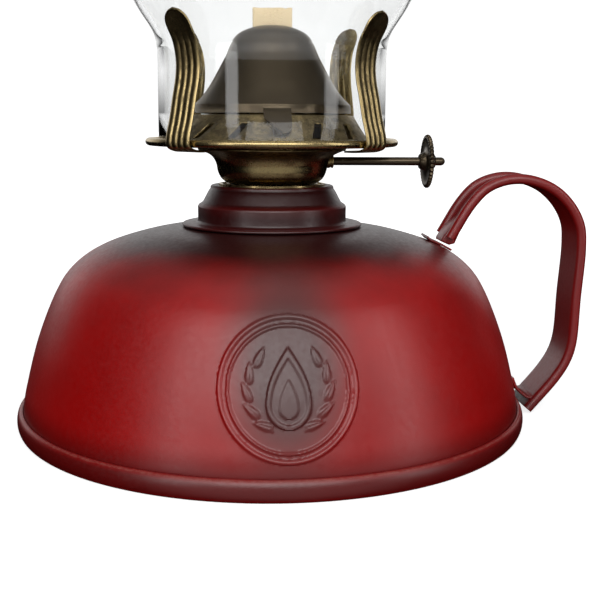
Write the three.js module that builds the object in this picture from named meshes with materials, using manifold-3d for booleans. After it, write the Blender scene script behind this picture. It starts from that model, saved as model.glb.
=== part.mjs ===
// Table oil lamp with a carrying handle, a flat-wick burner and a glass chimney.
// Millimetres. The lamp's axis is +Z, the table is z = 0, the handle and the wick shaft point to +X.
import * as THREE from "three";
import { mergeVertices } from "three/addons/utils/BufferGeometryUtils.js";
import Module from "manifold-3d";

const wasm = await Module();
wasm.setup();

// ---------------------------------------------------------------- driving sizes, mm
const GAP = 0.3; // air left between neighbouring pieces
const TIN = 0.8; // painted sheet of the tank
const BRASS = 0.7; // brass sheet of the burner
const FINE = 0.5; // thin brass of the wick tube and the small tubes

const RIM_R = 72; // outer radius of the rolled base rim
const RIM_H = 5.6; // height of that rim
const TANK_H = 54.9; // table to the top of the shoulder
const MOUTH_R = 19.4; // hole in the top of the tank

const COLLAR_R = 20.9; // upright wall of the stepped neck
const COLLAR_FOOT_R = 24.9; // its flange on the shoulder
const COLLAR_H = 11.3; // flange underside to the neck's top edge
const COLLAR_TOP_R = 16.6; // rounded top edge

const THREAD_R = 13.4; // crests of the burner's thread
const THREAD_H = 8.6; // height of that thread
const CUP_H = 10; // burner cup, thread to gallery
const CUP_TOP_R = 19.6; // the cup's flared mouth

const GLASS_R = 31.4; // outer radius of the chimney's foot
const GALLERY_R = GLASS_R + 3.7; // outer radius of the gallery's rolled rim
const BEAD_R = 1.05; // radius of that roll
const CONE_FOOT_R = GLASS_R - 1.8; // air cone, where it stands on the gallery
const CONE_TOP_R = CONE_FOOT_R - 6.4; // air cone, its shoulder
const CONE_H = 8.1; // air cone, height over the gallery floor
const SLOTS = 16; // air slots in the gallery floor and in the cone

const DOME_R = CONE_TOP_R - 1.2; // rim of the flame dome
const DOME_H = 24.6; // dome, rim to crown

const GLASS_T = 1.6; // glass wall
const GLASS_H = 171.5; // chimney height
const BULGE_R = 45.5; // widest part of the chimney
const GLASS_TOP_R = 24.5; // mouth of the chimney

const PRONG_W = 8.4; // spring prong, width
const PRONG_T = 0.6; // spring prong, thickness
const PRONG_H = 34.2; // spring prong, gallery floor to tip

const WICK_W = 11; // wick width
const WICK_T = 2.4; // wick thickness
const WICK_SHOWS = 4.1; // wick standing over the dome's crown
const SHAFT_R = 1.2; // wick raiser shaft
const SHAFT_END = 50.5; // far end of the shaft from the axis
const SPUR_R = 3.5; // tip radius of the spur wheels
const KNOB_R = 7.7; // knurled knob
const KNOB_X = 44.6; // near face of the knob

const HANDLE_W = 15; // handle strap, width
const HANDLE_T = 2.9; // handle strap, depth over the rolled edges
const HANDLE_REACH = RIM_R + 16.5; // axis to the middle of the strap's upright
const HANDLE_TOP = 68.4; // height of the arch

const EMBLEM_R = 16.2; // round emblem on the front
const EMBLEM_Z = 24.7; // its centre
const EMBOSS = 0.6; // how far it stands out

// ---------------------------------------------------------------- what follows from them
const BODY_R = RIM_R - TIN - GAP - 0.7; // tank wall just above the rim
const COLLAR_Z = TANK_H + GAP;
const NECK_TOP = COLLAR_Z + COLLAR_H;
const CUP_Z = NECK_TOP + 0.7; // underside of the burner cup
const FLOOR_Z = CUP_Z + CUP_H; // underside of the gallery floor
const SEAT_Z = FLOOR_Z + BRASS; // top of the gallery floor
const GLASS_Z = SEAT_Z + GAP;
const CONE_Z = SEAT_Z + GAP;
const DOME_Z = SEAT_Z + CONE_H + GAP; // underside of the dome's rim
const CROWN_Z = DOME_Z + DOME_H;
const SHAFT_Y = WICK_T / 2 + GAP + SPUR_R; // the shaft runs behind the wick
const SHAFT_Z = CUP_Z + 5.7;
const TUBE_W = WICK_W + 2 * (GAP + FINE); // wick tube, outside
const TUBE_D = WICK_T + 2 * (GAP + FINE);
const TUBE_TOP = CROWN_Z - 6;
const FRONT = -Math.PI / 2; // the emblem's side

// ---------------------------------------------------------------- helpers
const v2 = (x, y) => new THREE.Vector2(x, y);
const line = (...points) => points.map(([x, y]) => v2(x, y));
const smooth = (points, n) => new THREE.SplineCurve(line(...points)).getPoints(n);
const arc = (x, y, r, from, to, n) =>
  Array.from({ length: n + 1 }, (_, i) => {
    const a = from + ((to - from) * i) / n;
    return v2(x + r * Math.cos(a), y + r * Math.sin(a));
  });

// The same line moved to its left by t, with mitred corners.
function offset(points, t) {
  const last = points.length - 1;
  const left = (a, b) => v2(a.y - b.y, b.x - a.x).normalize();
  return points.map((p, i) => {
    const before = left(points[Math.max(i - 1, 0)], points[Math.max(i, 1)]);
    const after = left(points[Math.min(i, last - 1)], points[Math.min(i + 1, last)]);
    const n = before.clone().add(after).normalize();
    const moved = p.clone().addScaledVector(n, t / n.dot(before));
    if (p.x < 1e-6) moved.x = 0; // a line that ends on the axis stays on it
    return moved;
  });
}
// Outline of a sheet t thick whose one face follows the line and whose other lies to its left.
const sheet = (points, t) => [...points, ...offset(points, t).reverse()];

// A geometry as a solid, and solids joined or cut.
function solid(geometry) {
  for (const name of ["normal", "uv"]) geometry.deleteAttribute(name);
  const g = mergeVertices(geometry, 1e-4);
  return new wasm.Manifold(
    new wasm.Mesh({
      numProp: 3,
      vertProperties: g.attributes.position.array,
      triVerts: new Uint32Array(g.index.array),
    }),
  );
}
const join = (first, ...rest) => rest.reduce((a, b) => a.add(b), first);
const cut = (first, ...rest) => rest.reduce((a, b) => a.subtract(b), first);

// An outline in (radius, height) turned about Z; an outline off the axis closes on itself.
function turned(outline, segments) {
  const loop = THREE.ShapeUtils.area(outline) > 0 ? [...outline] : [...outline].reverse();
  if (Math.min(...loop.map((p) => p.x)) > 1e-6) loop.push(loop[0].clone());
  else while (loop[0].x > 1e-6 || loop.at(-1).x > 1e-6) loop.push(loop.shift());
  return new THREE.LatheGeometry(loop, segments).rotateX(Math.PI / 2);
}
const ring = (outline, segments) => solid(turned(outline, segments));

// A box, and a shape drawn in the X-Z plane and carried along Y, each given its middle.
const block = (w, d, h, x, y, z) => solid(new THREE.BoxGeometry(w, d, h).translate(x, y, z));
const slab = (shape, depth, y = 0, curves = 12) =>
  solid(
    new THREE.ExtrudeGeometry(shape, { depth, bevelEnabled: false, curveSegments: curves })
      .rotateX(Math.PI / 2)
      .translate(0, y + depth / 2, 0),
  );
const rod = (r, length, x, y, z, n = 20) =>
  solid(
    new THREE.CylinderGeometry(r, r, length, n).rotateZ(Math.PI / 2).translate(x, y, z),
  );
// The solid made at the angle 0 (towards +X), turned to another angle about the lamp's axis.
const swing = (s, angle) => s.rotate([0, 0, THREE.MathUtils.radToDeg(angle)]);
const around = (n, make) => Array.from({ length: n }, (_, i) => make((2 * Math.PI * i) / n, i));

// A section carried along a line in the X-Z plane: its x lies across, its y to the line's right.
function carried(section, points, steps) {
  const path = new THREE.CatmullRomCurve3(points.map(([x, z]) => new THREE.Vector3(x, 0, z)));
  return solid(
    new THREE.ExtrudeGeometry(section, {
      steps,
      extrudePath: path,
      bevelEnabled: false,
      curveSegments: 5,
    }),
  );
}

// ---------------------------------------------------------------- finishes
const FINISH = {
  red: [0x8f1418, 0.45, 0.2],
  brass: [0x8a6d32, 0.4, 0.85],
  bronze: [0x3d372a, 0.5, 0.8],
  wick: [0xe6d3ae, 0.95, 0],
  glass: [0xf2f6f6, 0.05, 0],
};
const lamp = new THREE.Group();
function piece(name, shape, finish) {
  const m = shape.getMesh();
  const g = new THREE.BufferGeometry()
    .setAttribute("position", new THREE.BufferAttribute(m.vertProperties, 3))
    .setIndex(new THREE.BufferAttribute(m.triVerts, 1));
  const [color, roughness, metalness] = FINISH[finish];
  const material = new THREE.MeshStandardMaterial({ color, roughness, metalness });
  if (finish === "glass") Object.assign(material, { transparent: true, opacity: 0.35 });
  const mesh = new THREE.Mesh(g, material);
  mesh.name = name;
  lamp.add(mesh);
}

// ---------------------------------------------------------------- tank
// The tank's outer wall from the rim to the mouth, in shares of its radius and height.
const WALL = [
  [1, 0.11], [0.984, 0.215], [0.933, 0.455], [0.857, 0.69], [0.785, 0.815], [0.674, 0.905],
  [0.51, 0.971], [0.37, 1],
];
const wallCurve = smooth(WALL.map(([r, z]) => [r * BODY_R, z * TANK_H]), 12);
const wall = [v2(BODY_R, TIN + GAP), ...wallCurve, v2(MOUTH_R, TANK_H)];
// Height of the tank's outer face at a radius on the shoulder.
function shoulder(r) {
  const i = wall.findIndex((p) => p.x < r);
  const [a, b] = [wall[i - 1], wall[i]];
  return a.y + ((b.y - a.y) * (r - a.x)) / (b.x - a.x);
}

// Emblem: two rings and a plain drop, raised out of the front wall and following it.
const skin = ring(sheet(offset(wallCurve, 0.2), -0.2 - EMBOSS), 52);
const disc = (r, hole) => {
  const s = new THREE.Shape().absarc(0, EMBLEM_Z, r, 0, 2 * Math.PI, false);
  s.holes.push(new THREE.Path().absarc(0, EMBLEM_Z, hole, 0, 2 * Math.PI, true));
  return s;
};
const drop = new THREE.Shape()
  .moveTo(0, EMBLEM_Z + 0.55 * EMBLEM_R)
  .bezierCurveTo(
    0.1 * EMBLEM_R, EMBLEM_Z + 0.2 * EMBLEM_R, 0.35 * EMBLEM_R, EMBLEM_Z,
    0.33 * EMBLEM_R, EMBLEM_Z - 0.2 * EMBLEM_R,
  )
  .absarc(0, EMBLEM_Z - 0.2 * EMBLEM_R, 0.33 * EMBLEM_R, 0, -Math.PI, true)
  .bezierCurveTo(
    -0.35 * EMBLEM_R, EMBLEM_Z, -0.1 * EMBLEM_R, EMBLEM_Z + 0.2 * EMBLEM_R,
    0, EMBLEM_Z + 0.55 * EMBLEM_R,
  );
const stamps = [disc(EMBLEM_R, EMBLEM_R - 0.9), disc(EMBLEM_R - 2, EMBLEM_R - 2.7), drop];
const emblem = stamps.map((s) => slab(s, BODY_R, -BODY_R, 10).intersect(skin));
piece("font_shell", join(ring(sheet(wall, TIN), 52), ...emblem), "red");

// Base pan: a flat middle on the table, a pressed-up ring, and the rim that holds the wall's foot.
const STEP_R = 0.55 * RIM_R; // where the pressed-up ring starts
const STEP_W = 8;
const lip = BODY_R + GAP;
piece(
  "base_pan",
  ring(
    [
      ...line(
        [0, 0], [STEP_R, 0], [STEP_R + 1.5, 1.4], [STEP_R + STEP_W - 1.5, 1.4],
        [STEP_R + STEP_W, 0],
      ),
      ...arc(RIM_R - 1.3, 1.3, 1.3, -Math.PI / 2, 0, 3),
      ...arc(RIM_R - 1.1, RIM_H - 1.1, 1.1, 0, Math.PI / 2, 3),
      ...line(
        [lip, RIM_H], [lip, TIN], [STEP_R + STEP_W + 0.3, TIN],
        [STEP_R + STEP_W - 1.2, TIN + 1.4], [STEP_R + 1.2, TIN + 1.4], [STEP_R - 0.3, TIN],
        [0, TIN],
      ),
    ],
    52,
  ),
  "red",
);

// Stepped neck soldered over the mouth.
const collarLine = [
  v2(COLLAR_FOOT_R, COLLAR_Z + TIN),
  ...arc(COLLAR_R + 0.9, COLLAR_Z + TIN + 0.9, 0.9, -Math.PI / 2, -Math.PI, 1),
  ...arc(COLLAR_R - 0.7, COLLAR_Z + 5.4, 0.7, 0, Math.PI / 3, 1),
  ...line([COLLAR_TOP_R + 0.9, NECK_TOP - 0.9]),
  ...arc(COLLAR_TOP_R, NECK_TOP - 0.9, 0.9, Math.PI / 4, Math.PI / 2, 1),
  ...line([COLLAR_TOP_R - 1.3, NECK_TOP]),
];
piece("neck_collar", ring(sheet(collarLine, TIN), 36), "red");

// A screw thread drawn as rings: crests stand out of the radius r by `rise`.
const crests = (r, rise, bottom, pitch, n) =>
  Array.from({ length: n }, (_, i) =>
    line([r, bottom + pitch * i], [r + rise, bottom + pitch * (i + 0.4)], [r, bottom + pitch * (i + 0.8)]),
  ).flat();

// Brass socket inside the neck, with the inner thread.
const SOCKET_R = COLLAR_TOP_R - 1.3 - GAP;
const socketInner = THREAD_R + GAP + 0.4;
const THREAD_PITCH = 2;
piece(
  "collar_socket",
  ring(
    [
      ...line([SOCKET_R, NECK_TOP + 0.4], [SOCKET_R, NECK_TOP - THREAD_H]),
      ...crests(socketInner, -0.4, NECK_TOP - THREAD_H, THREAD_PITCH, 3),
      v2(socketInner, NECK_TOP + 0.4),
    ],
    28,
  ),
  "brass",
);

// ---------------------------------------------------------------- handle
const ROOT_R = 0.715 * BODY_R; // where the rolled edges end over the shoulder
const TAB_TOP = (r) => shoulder(r) + GAP + TIN; // top face of the small plate on the shoulder
const strapFoot = [RIM_R + 2.9, 1.2];
const arch = [
  [0.153, 0.898], [0.267, 0.964], [0.417, 0.997], [0.58, 0.997], [0.763, 0.959], [0.899, 0.89],
  [0.981, 0.805], [1, 0.713], [0.982, 0.491], [0.967, 0.292], [0.932, 0.219], [0.856, 0.144],
].map(([u, v]) => [
  ROOT_R + u * (HANDLE_REACH - ROOT_R),
  strapFoot[1] + v * (HANDLE_TOP - strapFoot[1]),
]);
const root = [ROOT_R, shoulder(ROOT_R) + 3.6];
const half = HANDLE_W / 2;
const roll = HANDLE_T / 2; // radius of the rolled edge
const web = 0.9; // sheet between the rolls, on the side of the fingers
const meet = Math.asin((roll - web) / roll);
const strap = new THREE.Shape()
  .moveTo(roll - half, roll)
  .lineTo(half - roll, roll)
  .absarc(half - roll, 0, roll, Math.PI / 2, meet - Math.PI - 2 * meet, true)
  .absarc(roll - half, 0, roll, meet, -1.5 * Math.PI, true);
const straps = carried(strap, [root, ...arch, strapFoot], 32);
// The pinched tongue under the upper end, standing on the plate.
const tongue = new THREE.Shape(
  line(
    [root[0] + 6.2, root[1] + 6.6], [root[0] + 1.7, root[1] - 2.2],
    [root[0] - 0.1, TAB_TOP(root[0] - 0.1) + GAP], [root[0] - 2.4, TAB_TOP(root[0] - 2.4) + GAP],
    [root[0] - 1.2, root[1] + 0.4],
  ),
);
// The lower tongue: the web alone bends up against the tank above the rim.
const hug = BODY_R + GAP + web / 2;
const lowTongue = carried(
  new THREE.Shape(line([-5, -web / 2], [5, -web / 2], [5, web / 2], [-5, web / 2])),
  [
    [strapFoot[0] + 3.4, strapFoot[1] + 4.6], [strapFoot[0] + 0.6, strapFoot[1] + 3.4],
    [hug + 1.3, RIM_H + 1.2], [hug + 0.1, RIM_H + 2.8], [hug - 0.05, RIM_H + 4.4],
  ],
  14,
);
piece("handle_strap", join(straps, slab(tongue, 6), lowTongue), "red");

// Small soldered plate that follows the shoulder.
const tabEnds = [0.64 * BODY_R, 0.73 * BODY_R];
const tabLine = Array.from({ length: 7 }, (_, i) => {
  const r = tabEnds[1] + ((tabEnds[0] - tabEnds[1]) * i) / 6;
  return v2(r, shoulder(r) + GAP);
});
tabLine.push(v2(tabEnds[0] - 1, tabLine.at(-1).y + 0.9)); // its free end is lifted
piece("handle_tab", slab(new THREE.Shape(sheet(tabLine, -TIN + 0.05)), 9), "red");

// ---------------------------------------------------------------- burner
// Outer thread under the cup.
const threadTop = CUP_Z - GAP;
piece(
  "burner_thread",
  ring(
    [
      ...crests(THREAD_R - 0.5, 0.5, threadTop - THREAD_H + 0.4, THREAD_PITCH, 4),
      ...line([THREAD_R - 0.5, threadTop], [THREAD_R - 1.3, threadTop],
        [THREAD_R - 1.3, threadTop - THREAD_H + 0.4]),
    ],
    28,
  ),
  "brass",
);

// Bowl of the burner: a narrow foot, a full belly and a flared mouth under the gallery.
const cupLine = [
  v2(THREAD_R - 1.2, CUP_Z),
  ...smooth(
    [
      [0.665, 0.01], [0.73, 0.12], [0.776, 0.3], [0.796, 0.5], [0.833, 0.66], [0.89, 0.77], [1, 0.87],
    ].map(([r, z]) => [r * CUP_TOP_R, CUP_Z + z * CUP_H]),
    9,
  ),
  v2(CUP_TOP_R + 0.9, FLOOR_Z - GAP - 1.1 * BRASS),
];
const bore = SHAFT_R + GAP; // holes the shaft runs in
piece(
  "burner_cup",
  cut(
    ring(sheet(cupLine, BRASS), 36),
    rod(bore + FINE + GAP, CUP_TOP_R, CUP_TOP_R, SHAFT_Y, SHAFT_Z),
  ),
  "brass",
);

// Turned bush that leads the shaft through the cup's wall.
const BUSH_X = 0.8 * CUP_TOP_R;
piece(
  "shaft_bush",
  cut(
    rod(bore + FINE, 4.4, BUSH_X, SHAFT_Y, SHAFT_Z, 24),
    rod(bore, 10, BUSH_X, SHAFT_Y, SHAFT_Z),
  ),
  "brass",
);

// Plate that closes the burner's foot round the wick tube and the vent.
const VENT_X = 0.6 * THREAD_R;
piece(
  "tube_plate",
  cut(
    ring(line([0, CUP_Z + 1.1], [THREAD_R - 1.6, CUP_Z + 1.1], [THREAD_R - 1.6, CUP_Z + 1.9],
      [0, CUP_Z + 1.9]), 36),
    block(TUBE_W + 2 * GAP, TUBE_D + 2 * GAP, 9, 0, 0, CUP_Z),
    solid(new THREE.CylinderGeometry(1.5, 1.5, 9, 16).rotateX(Math.PI / 2)
      .translate(-VENT_X, -VENT_X / 2, CUP_Z)),
  ),
  "brass",
);
piece(
  "vent_tube",
  ring(line([1.2, CUP_Z - 4], [1.2, CUP_Z + 6], [0.7, CUP_Z + 6], [0.7, CUP_Z - 4]), 16)
    .translate([-VENT_X, -VENT_X / 2, 0]),
  "brass",
);

// Flat wick tube, with openings for the spur wheels behind and a sight window in front.
const TUBE_Z = CUP_Z - 7;
const tubeH = TUBE_TOP - TUBE_Z;
const SPUR_X = WICK_W / 4; // the wheels stand a quarter of the width either side
const SPUR_W = 1.2;
piece(
  "wick_tube",
  cut(
    block(TUBE_W, TUBE_D, tubeH, 0, 0, TUBE_Z + tubeH / 2),
    block(TUBE_W - 2 * FINE, TUBE_D - 2 * FINE, tubeH + 2, 0, 0, TUBE_Z + tubeH / 2),
    ...[-SPUR_X, SPUR_X].map((x) =>
      block(SPUR_W + 2 * GAP, 4, 2 * SPUR_R, x, TUBE_D / 2, SHAFT_Z)),
    block(0.5 * WICK_W, 2, 4, 0, -TUBE_D / 2, DOME_Z - 3.6),
  ),
  "brass",
);

// Three-sided cover over the spur wheels, held on the back of the wick tube.
const coverDepth = SHAFT_Y + SPUR_R + GAP + FINE - TUBE_D / 2 - GAP;
const coverY = TUBE_D / 2 + GAP + coverDepth / 2;
const coverH = 2 * SPUR_R;
piece(
  "spur_cover",
  cut(
    block(TUBE_W, coverDepth, coverH, 0, coverY, SHAFT_Z),
    block(TUBE_W - 2 * FINE, coverDepth, coverH + 2, 0, coverY - FINE, SHAFT_Z),
    rod(bore, TUBE_W + 4, 0, SHAFT_Y, SHAFT_Z),
  ),
  "brass",
);

// Gallery: rolled rim, flat seat for the glass, air slots inside the seat.
const beadZ = SEAT_Z + 0.55;
const beadC = GALLERY_R - BEAD_R;
const slotR = (CUP_TOP_R + CONE_FOOT_R) / 2 + 0.6;
const slotL = CONE_FOOT_R - CUP_TOP_R - 4.2;
piece(
  "gallery_ring",
  cut(
    ring(
      [
        ...line([CUP_TOP_R - 1.4, SEAT_Z], [CUP_TOP_R - 1.4, FLOOR_Z]),
        ...arc(beadC, beadZ, BEAD_R, (-3 * Math.PI) / 4, (3 * Math.PI) / 4, 6),
        v2(beadC - BEAD_R - 0.2, SEAT_Z),
      ],
      48,
    ),
    ...around(SLOTS, (a) => swing(block(slotL, 2.6, 4, slotR, 0, SEAT_Z), a + Math.PI / SLOTS)),
  ),
  "brass",
);

// Air cone under the dome, with slanted slots and a window front and back.
const coneLine = line(
  [CONE_FOOT_R, CONE_Z + 0.75 * BRASS], [CONE_TOP_R, SEAT_Z + CONE_H - 0.6], [CONE_TOP_R - 0.6, SEAT_Z + CONE_H],
  [DOME_R - 5, SEAT_Z + CONE_H],
);
const coneMid = (CONE_FOOT_R + CONE_TOP_R) / 2;
const coneSlot = solid(
  new THREE.BoxGeometry(8, 1.7, 0.58 * CONE_H).rotateX(0.5)
    .translate(coneMid, 0, SEAT_Z + 0.5 * CONE_H),
);
piece(
  "air_cone",
  cut(
    ring(sheet(coneLine, BRASS), 40),
    ...around(SLOTS, (a, i) =>
      i % (SLOTS / 2) === 0
        ? block(7, 12, 3.2, 0, (i ? 1 : -1) * coneMid, SEAT_Z + 0.55 * CONE_H)
        : swing(coneSlot, FRONT + a)),
  ),
  "brass",
);

// Spring prongs: fluted strips hooked under the gallery's rim, pressing in on the glass.
const prongLine = [
  [-6.4, FLOOR_Z - 0.75], [-1.75, FLOOR_Z - 0.6], [0.67, FLOOR_Z + 0.5], [0.8, SEAT_Z + 2],
].map(([r, z]) => [GALLERY_R + r, z]);
const grip = GLASS_R + GAP + PRONG_T / 2;
const reach = GALLERY_R - grip;
for (const [out, up] of [[0.84, 0.22], [0.45, 0.38], [0.1, 0.52], [0.02, 0.64], [0.33, 0.78],
  [0.9, 0.885], [1.55, 1]])
  prongLine.push([grip + out * reach, FLOOR_Z + up * PRONG_H]);
const flutes = Array.from({ length: 13 }, (_, i) =>
  v2((0.5 - i / 12) * PRONG_W, PRONG_T / 2 + (i % 3 === 0 ? -0.15 : 0.15)));
const prongSection = new THREE.Shape(
  [v2(-PRONG_W / 2, -PRONG_T / 2), v2(PRONG_W / 2, -PRONG_T / 2), ...flutes]);
const outlineZ = FLOOR_Z + PRONG_H - PRONG_W / 2;
const prongFace = new THREE.Shape()
  .moveTo(-PRONG_W, 0)
  .lineTo(PRONG_W, 0)
  .lineTo(PRONG_W / 2, outlineZ - 1)
  .lineTo(PRONG_W / 2, outlineZ)
  .absarc(0, outlineZ, PRONG_W / 2, 0, Math.PI, false)
  .lineTo(-PRONG_W / 2, outlineZ - 1);
const prongFaceSolid = solid(
  new THREE.ExtrudeGeometry(prongFace, { depth: 60, bevelEnabled: false, curveSegments: 6 })
    .rotateX(Math.PI / 2)
    .rotateZ(Math.PI / 2),
);
const prong = carried(prongSection, prongLine, 12).intersect(prongFaceSolid);
["back_right", "back_left", "front_left", "front_right"].forEach((where, i) =>
  piece("prong_" + where, swing(prong, Math.PI / 4 + (i * Math.PI) / 2), "brass"));

// Flame dome: a bell with a wick slot in its crown and a tab front and back.
const SLOT_W = WICK_W + 3;
const SLOT_D = WICK_T + 2.6;
const domeLine = [
  v2(DOME_R, DOME_Z),
  ...smooth(
    [
      [0.99, 0.09], [0.885, 0.185], [0.8, 0.285], [0.69, 0.455], [0.59, 0.625], [0.5, 0.8],
      [0.4, 0.9], [0.22, 0.975], [0, 1],
    ].map(([r, z]) => [r * DOME_R, DOME_Z + z * DOME_H]),
    11,
  ),
];
const tabShape = new THREE.Shape()
  .moveTo(-3.5, DOME_Z + 1.6)
  .lineTo(-3.5, DOME_Z - 1.2)
  .absarc(1.5, DOME_Z - 3, 2, -0.72 * Math.PI, 0, false)
  .lineTo(3.5, DOME_Z + 1.6);
const TAB_T = 0.6; // the tabs lie a gap outside the cone
const tabFace = offset(coneLine.slice(0, 2), -GAP - TAB_T);
const tabSkin = ring(
  sheet([...tabFace, v2(DOME_R + 0.5, DOME_Z + 0.5), v2(DOME_R, DOME_Z + 2)], TAB_T),
  40,
);
piece(
  "flame_dome",
  cut(
    join(ring(sheet(domeLine, FINE + 0.1), 32),
      ...[-1, 1].map((s) => slab(tabShape, DOME_R, s * 1.1 * DOME_R).intersect(tabSkin))),
    block(SLOT_W, SLOT_D, 12, 0, 0, CROWN_Z),
  ),
  "bronze",
);

// ---------------------------------------------------------------- wick and its raiser
const WICK_Z = 19; // lower end of the wick over the table
const wickH = CROWN_Z + WICK_SHOWS - WICK_Z;
piece("wick", block(WICK_W, WICK_T, wickH, 0, 0, WICK_Z + wickH / 2), "wick");

const shaftStart = -TUBE_W / 2 - 1;
piece(
  "raiser_shaft",
  solid(
    turned(
      [
        v2(0, shaftStart), v2(SHAFT_R, shaftStart),
        ...arc(0, SHAFT_END - SHAFT_R, SHAFT_R, 0, Math.PI / 2, 4),
      ],
      20,
    ).rotateY(Math.PI / 2).translate(0, SHAFT_Y, SHAFT_Z),
  ),
  "bronze",
);

// A toothed disc about the shaft, from x to x + w: n teeth between the radii low and high.
function toothed(n, low, high, x, w, points) {
  const s = new THREE.Shape(
    Array.from({ length: n * points }, (_, i) => {
      const a = (2 * Math.PI * i) / (n * points);
      const r = low + (high - low) * (0.5 + 0.5 * Math.cos(n * a));
      return v2(r * Math.cos(a), r * Math.sin(a));
    }),
  );
  s.holes.push(new THREE.Path().absarc(0, 0, bore, 0, 2 * Math.PI, true));
  const g = new THREE.ExtrudeGeometry(s, { depth: w, bevelEnabled: false, curveSegments: 10 });
  return solid(g.rotateY(Math.PI / 2).translate(x, SHAFT_Y, SHAFT_Z));
}
["left", "right"].forEach((side, i) =>
  piece(
    "spur_wheel_" + side,
    toothed(10, SPUR_R - 0.9, SPUR_R, (i ? SPUR_X : -SPUR_X) - SPUR_W / 2, SPUR_W, 4),
    "brass",
  ));

// Coin-edged knob with a short hub on either side.
const hub = solid(
  turned(line([2.1, -1.7], [2.7, 0], [2.7, 1.3], [1.9, 2.9], [bore, 2.9], [bore, -1.7]), 20)
    .rotateY(Math.PI / 2)
    .translate(KNOB_X, SHAFT_Y, SHAFT_Z),
);
piece("raiser_knob", join(toothed(40, KNOB_R - 0.4, KNOB_R, KNOB_X, 1.3, 3), hub), "bronze");

// ---------------------------------------------------------------- chimney
const straight = 0.145 * GLASS_H; // height of the plain foot
const swell = [
  [0, 0], [0.09, 0.034], [0.45, 0.09], [0.91, 0.19], [1, 0.265], [0.68, 0.41], [0, 0.62],
];
const foot = GLASS_Z + straight;
const tall = GLASS_H - straight;
const glassLine = [
  v2(GLASS_R, GLASS_Z),
  ...smooth(
    [
      ...swell.map(([u, v]) => [GLASS_R + u * (BULGE_R - GLASS_R), foot + v * tall]),
      [GLASS_TOP_R + 0.22 * (GLASS_R - GLASS_TOP_R), foot + 0.83 * tall],
      [GLASS_TOP_R, GLASS_Z + GLASS_H],
    ],
    15,
  ),
];
piece("chimney", ring(sheet(glassLine, GLASS_T), 40), "glass");

export default lamp;
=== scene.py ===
"""Table oil lamp: painted tank with a strap handle, antiqued flat-wick burner and a blown glass chimney.
Lengths in the code are millimetres; the lamp's axis is +Z, the handle points to +X, the emblem to -Y."""

import math

import bmesh
import bpy
import numpy as np
from bpy.props import FloatProperty, FloatVectorProperty, IntProperty, PointerProperty
from mathutils import Matrix, Vector


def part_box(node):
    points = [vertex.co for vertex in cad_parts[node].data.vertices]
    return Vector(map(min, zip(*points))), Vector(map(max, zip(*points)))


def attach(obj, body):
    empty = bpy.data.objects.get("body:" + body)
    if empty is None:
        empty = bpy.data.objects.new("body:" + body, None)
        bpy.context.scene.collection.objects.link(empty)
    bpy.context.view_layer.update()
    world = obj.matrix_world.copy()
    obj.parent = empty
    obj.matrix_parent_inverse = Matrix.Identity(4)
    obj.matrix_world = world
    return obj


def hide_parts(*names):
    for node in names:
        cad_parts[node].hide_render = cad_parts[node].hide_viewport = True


bl_info = {
    "name": "Table Oil Lamp",
    "version": (1, 0, 0),
    "blender": (4, 5, 0),
    "location": "View3D > Sidebar > Oil Lamp",
    "description": "Builds the looks of a table oil lamp around its packed CAD frame",
    "category": "Add Mesh",
}

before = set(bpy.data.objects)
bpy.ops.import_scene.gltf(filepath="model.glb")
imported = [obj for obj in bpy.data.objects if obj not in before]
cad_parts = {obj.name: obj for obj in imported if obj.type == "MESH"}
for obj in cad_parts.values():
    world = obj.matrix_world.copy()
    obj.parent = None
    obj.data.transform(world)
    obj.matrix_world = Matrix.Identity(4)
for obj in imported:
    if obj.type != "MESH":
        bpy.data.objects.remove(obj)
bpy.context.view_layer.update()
MM = 0.001
TAU = 2 * math.pi


def low(node):
    return np.array(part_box(node)[0]) / MM


def high(node):
    return np.array(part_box(node)[1]) / MM


# Sizes read from the frame.
RIM_R, RIM_H = high("base_pan")[[0, 2]]
BODY_R, TANK_H = high("font_shell")[[0, 2]]
COLLAR_FOOT_R, NECK_TOP = high("neck_collar")[[0, 2]]
COLLAR_Z = low("neck_collar")[2]
SOCKET_R, SOCKET_TOP = high("collar_socket")[[0, 2]]
THREAD_R = high("burner_thread")[0]
CUP_TOP_R = high("burner_cup")[0] - 0.9
CUP_Z, CUP_H = low("burner_cup")[2], 10.0
GALLERY_R = high("gallery_ring")[0]
FLOOR_Z = low("gallery_ring")[2]
CONE_FOOT_R, CONE_TOP = high("air_cone")[[0, 2]]
DOME_R, CROWN_Z = high("flame_dome")[[0, 2]]
DOME_Z = CONE_TOP + 0.3
GLASS_Z, GLASS_TOP = low("chimney")[2], high("chimney")[2]
SHAFT_END = high("raiser_shaft")[0]
SHAFT_Y, SHAFT_Z = (low("raiser_shaft")[1:] + high("raiser_shaft")[1:]) / 2
WICK_LOW, WICK_HIGH = low("wick"), high("wick")
FRONT = -math.pi / 2
CONE_LIP = np.array([CONE_FOOT_R, FLOOR_Z + 1.53])
CONE_NECK = np.array([23.2, CONE_TOP - 0.6])
VENTS = 16


# ---------------------------------------------------------------- settings
class LampTankSettings(bpy.types.PropertyGroup):
    paint: FloatVectorProperty(
        name="Enamel", description="Bright red of the tank's enamel",
        default=(0.42, 0.0007, 0.0008), subtype="COLOR", size=3, min=0, max=1)
    shade: FloatVectorProperty(
        name="Shading", description="Dark sprayed shading at the neck and rim",
        default=(0.032, 0.0012, 0.0012), subtype="COLOR", size=3, min=0, max=1)
    relief: FloatProperty(
        name="Emblem relief", description="Height of the emblem over the wall",
        default=0.00055, unit="LENGTH", min=0, max=0.0006)
    roughness: FloatProperty(
        name="Satin", description="Roughness of the enamel", default=0.36, min=0.05, max=1)


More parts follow.
